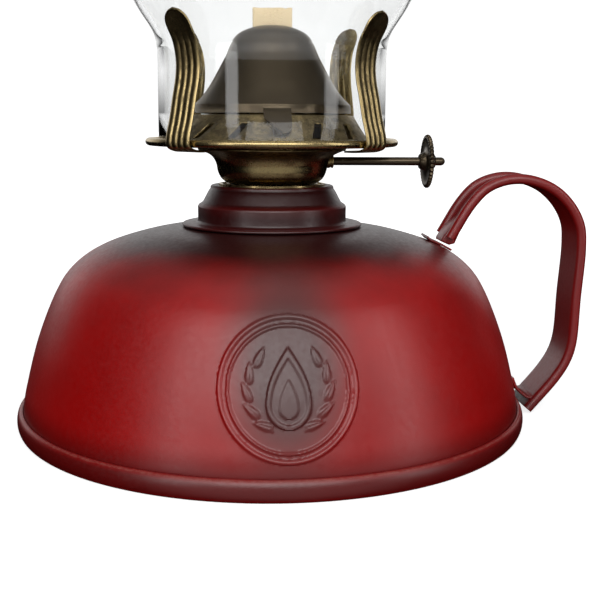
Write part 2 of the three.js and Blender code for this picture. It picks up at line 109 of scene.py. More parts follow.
class LampBrassSettings(bpy.types.PropertyGroup):
    metal: FloatVectorProperty(
        name="Brass", description="Colour of the rubbed brass",
        default=(0.50, 0.38, 0.18), subtype="COLOR", size=3, min=0, max=1)
    patina: FloatVectorProperty(
        name="Patina", description="Colour of the aged brass in hollows and on flat faces",
        default=(0.085, 0.062, 0.032), subtype="COLOR", size=3, min=0, max=1)
    sheet: FloatProperty(
        name="Sheet", description="Thickness of the burner's brass sheet",
        default=0.0006, unit="LENGTH", min=0.0003, max=0.0007)
    flute: FloatProperty(
        name="Flute depth", description="Depth of the flutes pressed into each spring prong",
        default=0.00034, unit="LENGTH", min=0, max=0.0006)
    knob_teeth: IntProperty(
        name="Knob teeth", description="Notches round the edge of the wick knob",
        default=40, min=12, max=80)


class LampGlassSettings(bpy.types.PropertyGroup):
    wall: FloatProperty(
        name="Glass wall", description="Thickness of the chimney's wall",
        default=0.0016, unit="LENGTH", min=0.0008, max=0.003)
    tint: FloatVectorProperty(
        name="Glass tint", description="Colour of the clear glass",
        default=(0.985, 0.992, 0.99), subtype="COLOR", size=3, min=0, max=1)


class LampWickSettings(bpy.types.PropertyGroup):
    cotton: FloatVectorProperty(
        name="Cotton", description="Colour of the wick's cotton",
        default=(0.72, 0.56, 0.33), subtype="COLOR", size=3, min=0, max=1)
    tracer: FloatVectorProperty(
        name="Tracer", description="Colour of the stitched thread in the middle of the wick",
        default=(0.62, 0.045, 0.06), subtype="COLOR", size=3, min=0, max=1)
    pick: FloatProperty(
        name="Weave pitch", description="Distance between the rows of the weave",
        default=0.00075, unit="LENGTH", min=0.0004, max=0.002)


class LampStudioSettings(bpy.types.PropertyGroup):
    floor: FloatVectorProperty(
        name="Floor", description="Colour of the pale floor",
        default=(0.86, 0.86, 0.86), subtype="COLOR", size=3, min=0, max=1)
    front: FloatProperty(
        name="Front light", description="Power of the large light above the camera",
        default=8.6, unit="POWER", min=0)
    side: FloatProperty(
        name="Side lights", description="Power of each of the two tall side lights",
        default=2.6, unit="POWER", min=0)
    top: FloatProperty(
        name="Top light", description="Power of the overhead light",
        default=1.0, unit="POWER", min=0)


def settings():
    return bpy.context.scene.oil_lamp


class LampSettings(bpy.types.PropertyGroup):
    tank: PointerProperty(type=LampTankSettings, name="Tank", description="Painted tank")
    brass: PointerProperty(type=LampBrassSettings, name="Brass", description="Burner")
    glass: PointerProperty(type=LampGlassSettings, name="Glass", description="Chimney")
    wick: PointerProperty(type=LampWickSettings, name="Wick", description="Wick")
    studio: PointerProperty(type=LampStudioSettings, name="Studio", description="Lights")


# ---------------------------------------------------------------- lines in a plane
def lengths(line):
    """Distance of each point from the line's start, along the line."""
    return np.r_[0, np.cumsum(np.linalg.norm(np.diff(line, axis=0), axis=1))]


def unit(v):
    """Each row at length 1."""
    return v / np.linalg.norm(v, axis=1, keepdims=True)


def smooth(points, per=12, alpha=0.0):
    """Catmull-Rom line through the points, per samples a span: between two points it is the cubic
    whose end slopes come from the neighbours, weighted by the distances to the power alpha."""
    p = np.asarray(points, float)
    p = np.vstack([2 * p[0] - p[1], p, 2 * p[-1] - p[-2]])
    a, b, c, d = p[:-3], p[1:-2], p[2:-1], p[3:]
    s, t, u = (np.linalg.norm(q - r, axis=1, keepdims=True) ** (2 * alpha) + 1e-12
               for q, r in ((b, a), (c, b), (d, c)))
    m1 = t * ((b - a) / s - (c - a) / (s + t) + (c - b) / t)
    m2 = t * ((c - b) / t - (d - b) / (t + u) + (d - c) / u)
    w = np.linspace(0, 1, per, endpoint=False)[:, None, None]
    span = ((2 * w**3 - 3 * w**2 + 1) * b + (w**3 - 2 * w**2 + w) * m1
            + (3 * w**2 - 2 * w**3) * c + (w**3 - w**2) * m2)
    return np.vstack([span.transpose(1, 0, 2).reshape(-1, p.shape[1]), p[-2]])


def arc(x, z, rx, start, end, n=8, rz=None):
    """Points on the ellipse about (x, z) from one angle to another, in degrees."""
    a = np.radians(np.linspace(start, end, n + 1))
    return np.stack([x + rx * np.cos(a), z + (rz or rx) * np.sin(a)], -1)


def offset(line, t):
    """The line moved to its left by t: each point goes along the mean of its two normals,
    divided by that mean's share along either of them."""
    step = np.diff(line, axis=0)
    left = unit(np.stack([-step[:, 1], step[:, 0]], -1))
    before, after = np.vstack([left[:1], left]), np.vstack([left, left[-1:]])
    mean = unit(before + after)
    moved = line + t * mean / np.sum(mean * before, axis=1, keepdims=True)
    moved[line[:, 0] < 1e-6, 0] = 0
    return moved


def wall_of(line, t):
    """Closed outline of a sheet t thick: the line, a half-round edge, the offset line back, an edge."""
    other = offset(line, t)[::-1]

    def edge(a, b, along):
        mid, half = (a + b) / 2, np.linalg.norm(a - b) / 2
        k = np.radians([30, 60, 90, 120, 150])[:, None]
        return mid + (a - mid) * np.cos(k) + along * half * np.sin(k)

    out, back = line[-1] - line[-2], line[0] - line[1]
    return np.vstack([line, edge(line[-1], other[0], out / np.linalg.norm(out)), other,
                      edge(other[-1], line[0], back / np.linalg.norm(back)), line[:1]])


def spread(line, n=None, at=None):
    """The line read at n equal steps of its own length, or at given lengths."""
    s = lengths(line)
    at = np.linspace(0, s[-1], n) if at is None else np.asarray(at)
    return np.stack([np.interp(at, s, line[:, k]) for k in range(line.shape[1])], -1)


# ---------------------------------------------------------------- surfaces
def turned(line, columns=192, angles=None):
    """P(s, a) = (r(s) cos a, r(s) sin a, z(s)): the line turned about the lamp's axis."""
    a = np.linspace(0, TAU, columns + 1) if angles is None else angles
    r, z = line[:, :1], line[:, 1:2]
    return np.stack([r * np.cos(a), r * np.sin(a), z + 0 * a], -1)


def about_shaft(surface):
    """A surface turned about Z laid over, so that its axis is the wick shaft and its Z is X."""
    x, y, z = surface[..., 0], surface[..., 1], surface[..., 2]
    return np.stack([z, x + SHAFT_Y, y + SHAFT_Z], -1)


def carried(section, path):
    """P(s, k) = path(s) + x_k (-Y) + y_k n(s): a section across a line in the X-Z plane, n being
    the line's right-hand side (tz, 0, -tx)."""
    t = unit(np.gradient(path, axis=0))
    x, y = section[..., 0], section[..., 1]
    shape = np.broadcast_shapes(x.shape, (len(path), x.shape[-1]))
    x, y = np.broadcast_to(x, shape), np.broadcast_to(y, shape)
    return np.stack([path[:, :1] + y * t[:, 1:2], -x, path[:, 1:2] - y * t[:, :1]], -1)


def pillow(loop, depth, soft):
    """A closed outline in the X-Z plane carried along Y, pulled in by soft (1 - sin a) towards
    either end, where a goes from 0 to a right angle, so its long edges are rounded."""
    a = np.radians([0, 30, 60, 90])
    ys = np.r_[-depth / 2 + soft * (1 - np.cos(a)), depth / 2 - soft * (1 - np.cos(a[::-1]))]
    pull = np.r_[soft * (1 - np.sin(a)), soft * (1 - np.sin(a[::-1]))]
    closed = np.vstack([loop, loop[:1]])
    step = np.roll(loop, -1, 0) - np.roll(loop, 1, 0)
    n = unit(np.stack([-step[:, 1], step[:, 0]], -1))
    n = np.vstack([n, n[:1]])
    area = np.sum(closed[:-1, 0] * closed[1:, 1] - closed[1:, 0] * closed[:-1, 1])
    inward = closed[None] + np.sign(area) * pull[:, None, None] * n[None]
    y = np.broadcast_to(ys[:, None], inward.shape[:2])
    return np.stack([inward[..., 0], y, inward[..., 1]], -1)


def bump(d, width):
    """A rounded ridge of that width: (1 - (2d / width)^2)^0.7, and 0 outside."""
    return np.clip(1 - (2 * d / width) ** 2, 0, 1) ** 0.7


def ramp(x, a, b):
    """0 below a and 1 above b, easing in between as 3t^2 - 2t^3."""
    t = np.clip((x - a) / (b - a), 0, 1)
    return t * t * (3 - 2 * t)


# ---------------------------------------------------------------- meshes
def mesh_piece(name, surfaces, material, body, nodes, caps=(), sheet=None, bevel=0,
               worn=None, closed=True, sharp=38, keep=None):
    """One object from surfaces given as grids of points. caps lists (surface, row) whose loop is
    closed by one flat face. sheet gives a single-sided surface its thickness. The per-point marks
    hold, for each surface, how rubbed each point is, round the dome's middle a painted highlight,
    and on the wick where its stitch runs; keep holds which cells of a surface there are."""
    points, faces, rub, start, uv = [], [], [], 0, []
    first = []
    for i, grid in enumerate(surfaces):
        rows, cols = grid.shape[:2]
        index = start + np.arange(rows * cols).reshape(rows, cols)
        quad = np.stack([index[:-1, :-1], index[:-1, 1:], index[1:, 1:], index[1:, :-1]], -1)
        faces.append(quad[keep[i]] if keep is not None and keep[i] is not None
                     else quad.reshape(-1, 4))
        points.append(grid.reshape(-1, 3))
        mark = None if worn is None else worn[i]
        rub.append(np.broadcast_to(0.0 if mark is None else mark, (rows, cols)).ravel())
        v, u = np.meshgrid(np.linspace(0, 1, rows), np.linspace(0, 1, cols), indexing="ij")
        uv.append(np.stack([u, v], -1).reshape(-1, 2))
        first.append(index)
        start += rows * cols
    for i, row in caps:
        loop = first[i][row][:-1]
        faces.append((loop if row == 0 else loop[::-1])[None])
    points, rub, uv = np.concatenate(points), np.concatenate(rub), np.concatenate(uv)
    corners = np.concatenate([f.ravel() for f in faces])
    sizes = np.concatenate([np.full(len(f), f.shape[1]) for f in faces])
    mesh = bpy.data.meshes.new(name)
    mesh.vertices.add(len(points))
    mesh.vertices.foreach_set("co", (points * MM).astype(np.float32).ravel())
    mesh.loops.add(len(corners))
    mesh.loops.foreach_set("vertex_index", corners.astype(np.int32))
    mesh.polygons.add(len(sizes))
    mesh.polygons.foreach_set("loop_start", (np.cumsum(sizes) - sizes).astype(np.int32))
    mesh.update(calc_edges=True)
    mesh.uv_layers.new(name="UVMap").data.foreach_set("uv", uv[corners].astype(np.float32).ravel())
    if worn is not None:
        mesh.attributes.new("worn", "FLOAT", "POINT").data.foreach_set(
            "value", rub.astype(np.float32))
    bm = bmesh.new()
    bm.from_mesh(mesh)
    bmesh.ops.remove_doubles(bm, verts=bm.verts, dist=2e-6)
    bmesh.ops.delete(bm, geom=[v for v in bm.verts if not v.link_faces], context="VERTS")
    if closed:
        bmesh.ops.recalc_face_normals(bm, faces=bm.faces)
    bm.to_mesh(mesh)
    bm.free()
    mesh.shade_smooth()
    mesh.set_sharp_from_angle(angle=math.radians(sharp))
    made = bpy.data.objects.new(name, mesh)
    bpy.context.scene.collection.objects.link(made)
    if sheet:
        solidify = made.modifiers.new("Sheet", "SOLIDIFY")
        solidify.thickness, solidify.offset = sheet * MM, 0
    if bevel:
        edges = made.modifiers.new("Edges", "BEVEL")
        edges.width, edges.segments, edges.limit_method = bevel * MM, 2, "ANGLE"
        edges.angle_limit = math.radians(50)
    mesh.materials.append(material)
    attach(made, body)
    if nodes:
        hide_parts(*nodes)
    return made


# ---------------------------------------------------------------- finishes
class Finish:
    """A node material built step by step: add() makes a node, sets or links its inputs by name and
    returns its first output. A material that already has the name is handed back as it is. The
    frame holds plain ones named dark_brass and wick_cotton, so those two finishes stay plain."""

    def __init__(self, name):
        self.material = bpy.data.materials.get(name)
        self.ready = self.material is not None
        if not self.ready:
            self.material = bpy.data.materials.new(name)
            self.material.use_nodes = True
            self.tree = self.material.node_tree
            self.shader = self.tree.nodes["Principled BSDF"]
            self.place = self.add("TexCoord", out="Object")

    def add(self, kind, out=None, options=None, **inputs):
        node = self.tree.nodes.new("ShaderNode" + kind)
        for key, value in (options or {}).items():
            setattr(node, key, value)
        for key, value in inputs.items():
            self.put(node, key, value)
        return node.outputs[out] if out is not None else next(o for o in node.outputs if o.enabled)

    def put(self, node, key, value):
        key = key.replace("_", " ")
        socket = next((s for s in node.inputs if s.name == key and s.enabled), None)
        if socket is None:
            socket = node.inputs[int(key[1:])]
        if isinstance(value, bpy.types.NodeSocket):
            self.tree.links.new(value, socket)
        elif hasattr(socket.default_value, "__len__") and len(socket.default_value) == 4:
            socket.default_value = (*value, 1.0)[:4]
        else:
            socket.default_value = value

    def math(self, how, a, b=0.5, clamp=False):
        return self.add("Math", options={"operation": how, "use_clamp": clamp}, i0=a, i1=b)

    def noise(self, scale, detail=3.0, rough=0.55, vector=None, warp=0.0):
        return self.add("TexNoise", out="Fac", Vector=vector or self.place, Scale=scale,
                        Detail=detail, Roughness=rough, Distortion=warp)

    def fade(self, value, a, b, lo=0.0, hi=1.0):
        return self.add("MapRange", options={"interpolation_type": "SMOOTHSTEP"}, Value=value,
                        From_Min=a, From_Max=b, To_Min=lo, To_Max=hi)

    def mix(self, share, a, b):
        node = self.tree.nodes.new("ShaderNodeMix")
        node.data_type = "RGBA"
        for socket, value in zip((node.inputs[0], node.inputs[6], node.inputs[7]), (share, a, b)):
            if isinstance(value, bpy.types.NodeSocket):
                self.tree.links.new(value, socket)
            else:
                socket.default_value = value if isinstance(value, float) else (*value, 1.0)[:4]
        return node.outputs[2]

    def bumps(self, height, distance, strength=1.0, under=None):
        made = self.add("Bump", Height=height, Distance=distance * MM, Strength=strength)
        if under is not None:
            self.tree.links.new(under, made.node.inputs["Normal"])
        return made

    def shine(self, **inputs):
        for key, value in inputs.items():
            self.put(self.shader, key, value)


def enamel():
    """Satin red enamel, sprayed darker over the shoulder, the neck, the rim and the emblem."""
    f = Finish("tank_enamel")
    if f.ready:
        return f.material
    tank = settings().tank
    xyz = f.add("SeparateXYZ", Vector=f.place).node
    x, y, z = xyz.outputs
    radius = f.math("SQRT", f.math("ADD", f.math("MULTIPLY", x, x), f.math("MULTIPLY", y, y)))
    cloud = f.noise(38, 4, 0.6)
    drift = f.math("MULTIPLY", f.math("SUBTRACT", cloud, 0.5), 0.014)
    # The shoulder darkens towards the neck, and a soft patch of a browner shade lies over the
    # middle of the front, a little above the emblem's centre.
    shoulder = f.fade(f.math("SUBTRACT", radius, drift), 0.061, 0.038)
    patch = f.math("SQRT", f.math("ADD", f.math("POWER", f.math("DIVIDE", x, 0.0165), 2.0),
                   f.math("POWER", f.math("DIVIDE", f.math("SUBTRACT", z, 0.029), 0.026), 2.0)))
    patch = f.math("MULTIPLY", f.fade(f.math("ADD", patch, f.math("MULTIPLY", drift, 12.0)), 1.15,
                                      0.35, 0.0, 0.9), f.fade(y, -0.02, -0.04))
    foot = f.fade(f.math("ADD", z, f.math("MULTIPLY", drift, 0.35)), 0.013, 0.003, 0.0, 0.72)
    strap = f.math("MULTIPLY", f.math("MAXIMUM", f.fade(radius, 0.0725, 0.0735),
                                      f.fade(z, 0.053, 0.055)), 0.5)
    dark = f.math("MAXIMUM", shoulder, f.math("MAXIMUM", foot, strap))
    worn = f.add("Attribute", out="Fac", options={"attribute_name": "worn"})
    dark = f.math("ADD", dark, f.math("MULTIPLY", worn, -0.25), clamp=True)
    grain = f.noise(900, 3, 0.7)
    fleck = f.fade(f.noise(2600, 2, 0.6), 0.66, 0.75)
    depth = f.mix(f.fade(cloud, 0.3, 0.75, 0.0, 0.35), tuple(tank.paint),
                  tuple(c * 0.45 for c in tank.paint))
    colour = f.mix(dark, depth, tuple(tank.shade))
    colour = f.mix(patch, colour, (0.05, 0.021, 0.019))
    colour = f.mix(f.math("MULTIPLY", fleck, 0.10), colour, (0.30, 0.16, 0.13))
    rub = f.math("MULTIPLY", f.fade(f.math("ADD", worn, f.math("MULTIPLY", grain, 0.5)), 1.12, 1.32),
                 0.55)
    colour = f.mix(rub, colour, (0.34, 0.09, 0.07))
    rough = f.math("ADD", f.fade(grain, 0.25, 0.8, tank.roughness - 0.06, tank.roughness + 0.07),
                   f.math("MULTIPLY", cloud, 0.05))
    fine = f.bumps(grain, 0.03, 0.5)
    peel = f.bumps(f.noise(260, 2, 0.5), 0.09, 0.35, under=fine)
    f.shine(Base_Color=colour, Roughness=rough, Normal=peel, Metallic=0.0, IOR=1.5,
            Specular_IOR_Level=0.8)
    return f.material


def brass(name="burner_brass", age=0.5, metal=None, patina=None, gloss=0.34, speck=1.0):
    """Antiqued brass: a dark patina that stays in hollows and comes off where the piece is rubbed,
    broken up by clouds and fine pits."""
    f = Finish(name)
    if f.ready:
        return f.material
    own = settings().brass
    metal = tuple(metal or own.metal)
    patina = tuple(patina or own.patina)
    worn = f.add("Attribute", out="Fac", options={"attribute_name": "worn"})
    cloud = f.noise(150, 5, 0.62, warp=0.4)
    blotch = f.noise(620, 3, 0.6)
    pits = f.noise(2400, 2, 0.6)
    age_here = f.math("ADD", f.math("MULTIPLY", f.math("SUBTRACT", cloud, 0.5), 1.5),
                      f.math("MULTIPLY", f.math("SUBTRACT", blotch, 0.5), 0.8))
    age_here = f.math("ADD", age_here, age)
    # Marked points lose their patina: where the piece is rubbed, and round the dome's middle as a
    # painted highlight.
    age_here = f.math("SUBTRACT", age_here, f.math("MULTIPLY", worn, 0.85))
    age_here = f.fade(age_here, 0.0, 1.0)
    colour = f.mix(age_here, metal, patina)
    spots = f.math("MULTIPLY", f.fade(pits, 0.56, 0.72), 0.5 * speck)
    colour = f.mix(spots, colour, tuple(c * 0.25 for c in patina))
    lift = f.math("MULTIPLY", f.fade(pits, 0.42, 0.3), 0.3 * speck)
    colour = f.mix(lift, colour, tuple(min(1, c * 1.5) for c in metal))
    rough = f.math("ADD", f.fade(age_here, 0.0, 1.0, gloss - 0.08, gloss + 0.16),
                   f.math("MULTIPLY", f.math("SUBTRACT", blotch, 0.5), 0.2))
    fine = f.bumps(pits, 0.02, 0.45)
    uneven = f.bumps(blotch, 0.05, 0.35, under=fine)
    f.shine(Base_Color=colour, Roughness=rough, Normal=uneven, Metallic=1.0)
    return f.material


def dark_brass():
    """Blackened brass of the dome, the shaft and the knob, browner where it is handled;
    the lighter band round the dome's middle is a painted highlight.
    """
    return brass("dark_brass", age=0.72, metal=(0.42, 0.34, 0.18), patina=(0.055, 0.045, 0.027),
                 gloss=0.36, speck=0.8)


def glass():
    """Clear blown glass with a faint ripple; lamps shine through it."""
    f = Finish("chimney_glass")
    if f.ready:
        return f.material
    ripple = f.bumps(f.noise(34, 2, 0.4), 0.25, 0.05)
    f.shine(Base_Color=tuple(settings().glass.tint), Roughness=0.015, IOR=1.47,
            Transmission_Weight=1.0, Normal=ripple)
    clear = f.add("BsdfTransparent", Color=(0.95, 0.96, 0.96))
    light = f.add("LightPath", out="Is Shadow Ray")
    both = f.tree.nodes.new("ShaderNodeMixShader")
    f.tree.links.new(light, both.inputs[0])
    f.tree.links.new(f.shader.outputs[0], both.inputs[1])
    f.tree.links.new(clear, both.inputs[2])
    f.tree.links.new(both.outputs[0], f.tree.nodes["Material Output"].inputs["Surface"])
    return f.material


def cotton():
    """Cotton for the woven wick, whose rows of picks across and threads along lie in its shape:
    fibre and soot clouds, and a red stitch down the middle of each face, read from the wick's own marks."""
    f = Finish("wick_cotton")
    if f.ready:
        return f.material
    own = settings().wick
    worn = f.add("Attribute", out="Fac", options={"attribute_name": "worn"})
    fibre = f.noise(1500, 4, 0.7)
    soot = f.noise(210, 3, 0.6)
    base = f.mix(f.fade(fibre, 0.25, 0.75), tuple(c * 0.72 for c in own.cotton),
                 tuple(min(1, c * 1.12) for c in own.cotton))
    base = f.mix(f.fade(soot, 0.45, 0.8, 0.0, 0.3), base, (0.5, 0.33, 0.17))
    stitch = f.math("MULTIPLY", worn, f.fade(fibre, 0.3, 0.55, 0.55, 1.0))
    colour = f.mix(stitch, base, tuple(own.tracer))
    f.shine(Base_Color=colour, Roughness=0.92, Metallic=0.0, Sheen_Weight=0.35,
            Specular_IOR_Level=0.2, Normal=f.bumps(fibre, 0.12, 0.7))
    return f.material


# ---------------------------------------------------------------- tank
WALL = np.array([[1, 0.11], [0.984, 0.215], [0.933, 0.455], [0.857, 0.69], [0.785, 0.815],
                 [0.674, 0.905], [0.51, 0.971], [0.37, 1]])
MOUTH_R = 19.4
EMBLEM_R, EMBLEM_Z = 16.2, 24.7


def tank_wall():
    """(radius, height) of the tank's outer face from the rim to the mouth."""
    curve = smooth(WALL * (BODY_R, TANK_H), 24)
    return np.vstack([[BODY_R, 1.1], curve, [MOUTH_R, TANK_H]])


def shoulder(r):
    line = tank_wall()[::-1]
    return np.interp(r, line[:, 0], line[:, 1])


def emblem(x, z):
    """Height from 0 to 1 of the round emblem at (x, z) in front view: two rings, a drop with a
    smaller flame in it, and a spray of leaves on either side."""
    z = z - EMBLEM_Z
    d = np.hypot(x, z)
    h = np.maximum(bump(d - 15.6, 1.25), 0.8 * bump(d - 13.75, 0.9))

    def drop(size, base, tip, soft):
        up = np.clip((z - base) / (tip - base), 0, 1)
        above = (1 - up) ** 1.1 * (1 + 1.1 * up)
        under = np.sqrt(np.clip(1 - ((z - base) / size) ** 2, 0, 1))
        half = size * np.where(z > base, above, under)
        inside = np.where((z < tip) & (z > base - size), half - np.abs(x), -1)
        return ramp(inside, 0, soft)

    h = np.maximum(h, drop(5.4, -3.2, 9.6, 0.55) - 0.55 * drop(4.3, -3.2, 7.2, 0.5)
                   + 0.5 * drop(2.4, -3.9, 2.8, 0.5))
    for side in (-1, 1):
        for k in range(5):
            a = math.radians(-52 + 25 * k)
            cx, cz, lean = side * 9.5 * math.cos(a), 9.5 * math.sin(a), a + math.radians(68)
            dx, dz = x - cx, z - cz
            along = side * dx * math.cos(lean) + dz * math.sin(lean)
            over = -side * dx * math.sin(lean) + dz * math.cos(lean)
            leaf = np.clip(1 - (along / 2.5) ** 2 - (over / (0.95 * (1 - 0.2 * along))) ** 2, 0, 1)
            h = np.maximum(h, 0.85 * np.sqrt(leaf) * (1 - 0.35 * bump(over, 0.35)))
        stem = np.abs(np.hypot(x, z) - 9.5)
        h = np.maximum(h, 0.35 * bump(stem, 0.6) * ((side * x > 3.5) & (z > -9) & (z < 7)))
    return np.clip(h, 0, 1)


class BuildTankShell(bpy.types.Operator):
    """Spun tank wall with its shoulder and the raised emblem in front"""

    bl_idname = "oil_lamp.tank_shell"
    bl_label = "Tank shell"

    def execute(self, context):
        relief = settings().tank.relief / MM
        outer = spread(tank_wall(), 1400)
        s = lengths(outer)
        band = [np.interp(z, outer[:900, 1], s[:900]) for z in (7.6, 41.6)]
        rows = np.r_[np.arange(0, band[0], 0.9), np.arange(band[0], band[1], 0.27),
                     np.arange(band[1], s[-1], 1.3), s[-1]]
        line = spread(outer, at=rows)
        inner = spread(offset(tank_wall(), 0.8)[::-1], 44)
        lip = arc(MOUTH_R, TANK_H - 0.4, 0.4, 90, 270, 4)[1:-1]
        fine = math.radians(17.2)
        a = np.r_[np.linspace(FRONT - fine, FRONT + fine, 150),
                  np.linspace(FRONT + fine, FRONT - fine + TAU, 150)[1:]]
        outside = turned(line, angles=a)
        slope = unit(np.gradient(line, axis=0))
        out = np.stack([slope[:, 1:] * np.cos(a), slope[:, 1:] * np.sin(a),
                        -slope[:, :1] + 0 * a], -1)
        h = emblem(outside[..., 0], outside[..., 2]) * (outside[..., 1] < 0)
        outside = outside + relief * h[..., None] * out
        inside = turned(np.vstack([lip, inner, line[:1]]), angles=a)
        rest = np.vstack([outside, inside])
        mark = np.vstack([0.75 * h, np.zeros(inside.shape[:2])])
        mesh_piece("tank_shell", [rest], enamel(), "tank", ["font_shell"],
                   worn=[mark])
        return {"FINISHED"}


class BuildBasePan(bpy.types.Operator):
    """Base pan with a pressed-up ring and the rolled rim that grips the tank's foot"""

    bl_idname = "oil_lamp.base_pan"
    bl_label = "Base pan and rim"

    def execute(self, context):
        step, wide, lip = 0.55 * RIM_R, 8.0, BODY_R + 0.3
        under = smooth([[step - 0.6, 0], [step + 0.5, 0.5], [step + 1.5, 1.3], [step + 2.3, 1.4],
                        [step + wide - 2.3, 1.4], [step + wide - 1.5, 1.3],
                        [step + wide - 0.5, 0.5], [step + wide + 0.6, 0]], 5)
        bead = arc(RIM_R - 1.32, RIM_H / 2, 1.32, -90, 104, 22, RIM_H / 2)
        line = np.vstack([[0, 0], [step * 0.5, 0], under, [RIM_R - 6, 0], bead,
                          [lip, RIM_H - 0.9], [lip, 1.3], [lip - 0.4, 0.8],
                          (under + (0, 0.8))[::-1], [step * 0.5, 0.8], [0, 0.8]])
        surface = turned(line, 240)
        z, r = surface[..., 2], np.hypot(surface[..., 0], surface[..., 1])
        mark = np.clip(bump(z - RIM_H + 0.3, 1.4) + 0.8 * bump(z - 0.5, 1.0), 0, 1) * (r > lip)
        mesh_piece("rim_and_pan", [surface], enamel(), "tank", ["base_pan"],
                   worn=[mark])
        return {"FINISHED"}


class BuildNeck(bpy.types.Operator):
    """Stepped neck over the mouth, with the threaded brass socket inside it"""

    bl_idname = "oil_lamp.neck"
    bl_label = "Neck collar and socket"

    def execute(self, context):
        z = COLLAR_Z
        line = np.vstack([
            [COLLAR_FOOT_R, z + 0.8], arc(21.8, z + 1.7, 0.9, -90, -180, 6),
            [20.9, z + 3.2], arc(20.0, z + 5.2, 0.9, 0, 66, 6),
            smooth([[19.5, z + 6.6], [18.8, z + 7.9], [17.9, z + 9.6], [17.35, z + 10.35]], 4),
            arc(16.6, NECK_TOP - 0.9, 0.9, 42, 90, 4), [15.3, NECK_TOP]])
        surface = turned(wall_of(line, 0.8), 160)
        h = surface[..., 2] - z
        mark = 0.5 * bump(h - 5.7, 1.3) + 0.4 * bump(h - 0.7, 0.5) + 0.4 * bump(h - 11, 1.0)
        mesh_piece("stepped_neck", [surface], enamel(), "tank", ["neck_collar"],
                   worn=[mark])
        mesh_piece("neck_socket",
                   [threaded(14.1, SOCKET_R, low("collar_socket")[2], SOCKET_TOP, -0.4)],
                   brass(), "tank", ["collar_socket"], worn=[0.2])
        return {"FINISHED"}


def threaded(bare, other, bottom, top, rise, pitch=2.0):
    """A tube whose one wall, of the radius bare, carries a screw thread:
    r(a, z) = bare + rise w(z) (0.5 + 0.5 cos(TAU (z / pitch - a / TAU)))^1.5, where w eases the
    thread out at both ends, and whose other wall is plain."""
    a = np.linspace(0, TAU, 97)
    z = np.linspace(bottom, top, 60)[:, None]
    ease = ramp(z, bottom + 0.3, bottom + 1.2) * ramp(-z, -top + 0.3, -top + 1.2)
    r = bare + rise * ease * (0.5 + 0.5 * np.cos(TAU * z / pitch - a)) ** 1.5
    wall = np.stack([r * np.cos(a), r * np.sin(a), z + 0 * a], -1)
    back = turned(np.array([[other, top], [other, bottom], [bare, bottom]]), angles=a)
    return np.vstack([wall, back])


# ---------------------------------------------------------------- handle
STRAP_FOOT = np.array([74.9, 1.2])
ROOT_R = 0.715 * BODY_R
ARCH = np.array([[0.153, 0.898], [0.267, 0.964], [0.417, 0.997], [0.58, 0.997], [0.763, 0.959],
                 [0.899, 0.89], [0.981, 0.805], [1, 0.713], [0.982, 0.491], [0.967, 0.292],
                 [0.932, 0.219], [0.856, 0.144]])


def strap_section():
    """Rolls at both edges, 1.45 in radius, joined by a flat web on the finger side."""
    roll, half, web = 1.45, 7.5, 0.9
    meet = math.degrees(math.asin((roll - web) / roll))
    right = arc(half - roll, 0, roll, 90, meet - 180, 22)
    left = arc(roll - half, 0, roll, meet, -270, 22)
    flat = np.stack([np.linspace(roll - half, half - roll, 13), np.full(13, roll)], -1)
    back = np.stack([np.linspace(half - 2 * roll, 2 * roll - half, 13),
                     np.full(13, roll - web)], -1)
    return np.vstack([flat[:-1], right, back[1:-1], left])


class BuildHandle(bpy.types.Operator):
    """Strap handle with rolled edges, its two tongues and the plate soldered to the shoulder"""

    bl_idname = "oil_lamp.handle"
    bl_label = "Handle"

    def execute(self, context):
        root = np.array([ROOT_R, shoulder(ROOT_R) + 3.6])
        scale = high("handle_strap")[[0, 2]] - (1.5, 1.5) - (ROOT_R, STRAP_FOOT[1])
        points = np.vstack([root, ARCH * scale + (ROOT_R, STRAP_FOOT[1]), STRAP_FOOT])
        path = spread(smooth(points, 24, 0.25), 230)
        section = strap_section()
        along = np.linspace(0, 1, len(path))[:, None]
        strap = carried(section, path)
        edge = bump(np.abs(section[:, 0]) - 6.9, 1.4) * (section[:, 1] < 0.6)
        finger = bump(section[:, 0], 12) * (section[:, 1] > 1.3) * bump(along - 0.46, 0.30)
        mark = np.clip(0.62 * edge + 0.45 * finger, 0, 1)
        keel = root + np.array([[6.2, 6.6], [3.4, 1.6], [1.9, -1.9], [0.3, -2.3], [-2.0, -1.3],
                                [-1.9, -0.5], [-1.2, 0.6], [1.0, 3.2], [3.4, 5.5]])
        upper = pillow(keel, 8.0, 0.5)
        hug = BODY_R + 0.75
        low_line = spread(smooth([STRAP_FOOT + (3.4, 4.6), STRAP_FOOT + (0.6, 3.4),
                                  [hug + 1.3, RIM_H + 1.2], [hug + 0.1, RIM_H + 2.8],
                                  [hug - 0.05, RIM_H + 4.4]], 10, 0.25), 40)
        flat = np.vstack([arc(5.9, 0, 0.44, 90, -90, 6), arc(-5.9, 0, 0.44, 270, 90, 6)])
        ends = 1 - 0.35 * ramp(np.linspace(0, 1, 40), 0.86, 1.0)[:, None]
        lower = carried(np.stack([flat[:, 0] * ends, flat[:, 1] + 0 * ends], -1), low_line)
        lower, strap, mark = (np.concatenate([g, g[:, :1]], 1) for g in (lower, strap, mark))
        mesh_piece("strap", [strap, upper, lower], enamel(), "tank", ["handle_strap"],
                   caps=[(0, 0), (0, -1), (1, 0), (1, -1), (2, 0), (2, -1)],
                   worn=[mark, 0.15, 0.2])
        r = np.linspace(0.728 * BODY_R, 0.642 * BODY_R, 14)
        line = np.vstack([np.stack([r, shoulder(r) + 0.42], -1),
                          [r[-1] - 1.0, shoulder(r[-1]) + 1.4]])
        plate = np.vstack([offset(line, 0.3), offset(line, -0.3)[::-1]])
        mesh_piece("strap_plate", [pillow(plate, 9.0, 0.2)], enamel(), "tank", ["handle_tab"],
                   caps=[(0, 0), (0, -1)], worn=[0.45])
        return {"FINISHED"}


